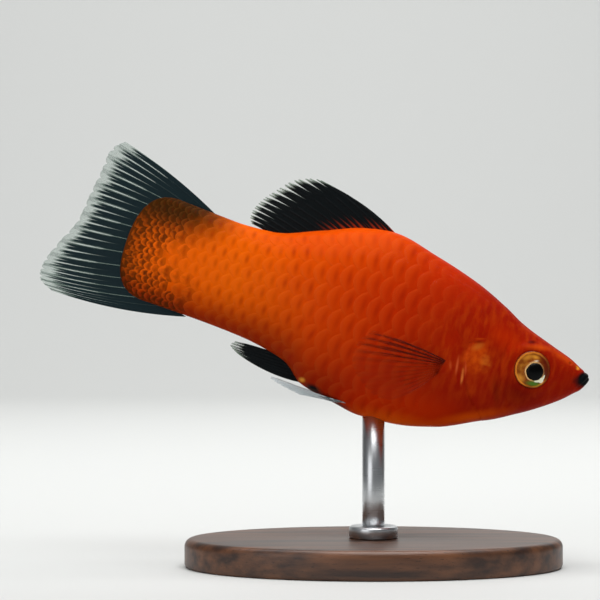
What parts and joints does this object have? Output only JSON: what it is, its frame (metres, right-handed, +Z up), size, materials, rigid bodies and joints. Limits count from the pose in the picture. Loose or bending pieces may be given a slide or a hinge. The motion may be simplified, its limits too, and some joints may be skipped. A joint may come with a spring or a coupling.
{
  "type": "red wag platyfish model",
  "caption": "Life-size red platyfish with black fins, swimming nose down on an oval wooden base with a short steel rod.",
  "frame": {"origin": "middle of the oval base's underside, straight under the rod and the fish's centre of mass", "axes": "+X towards the fish's head, +Y to the fish's left, +Z up"},
  "size_m": [0.0499, 0.022, 0.0384],
  "materials": {
    "fish_skin": "wet-looking scaled skin, orange back, deep red flank and head, dark net of scales at the tail",
    "eye": "glossy eye with gold iris and black pupil",
    "black_fin": "black pigmented fin rays with clear margins",
    "pale_fin": "thin pale bluish fin skin",
    "red_fin": "thin red-tinted fin skin with darker rays",
    "base_wood": "satin oiled walnut",
    "rod_steel": "fine brushed steel"
  },
  "bodies": {
    "root": {"head": "fish_skin", "trunk": "fish_skin", "tail_stalk": "fish_skin", "gill_cover_right": "fish_skin", "gill_cover_left": "fish_skin", "eye_right": "eye", "eye_left": "eye", "caudal_fin": "black_fin", "dorsal_fin": "black_fin", "anal_fin": "black_fin", "pelvic_fin_right": "pale_fin", "pelvic_fin_left": "pale_fin", "pectoral_fin_right": "red_fin", "pectoral_fin_left": "red_fin", "stand_base": "base_wood", "stand_rod": "rod_steel", "stand_collar": "rod_steel"}
  },
  "joints": []
}
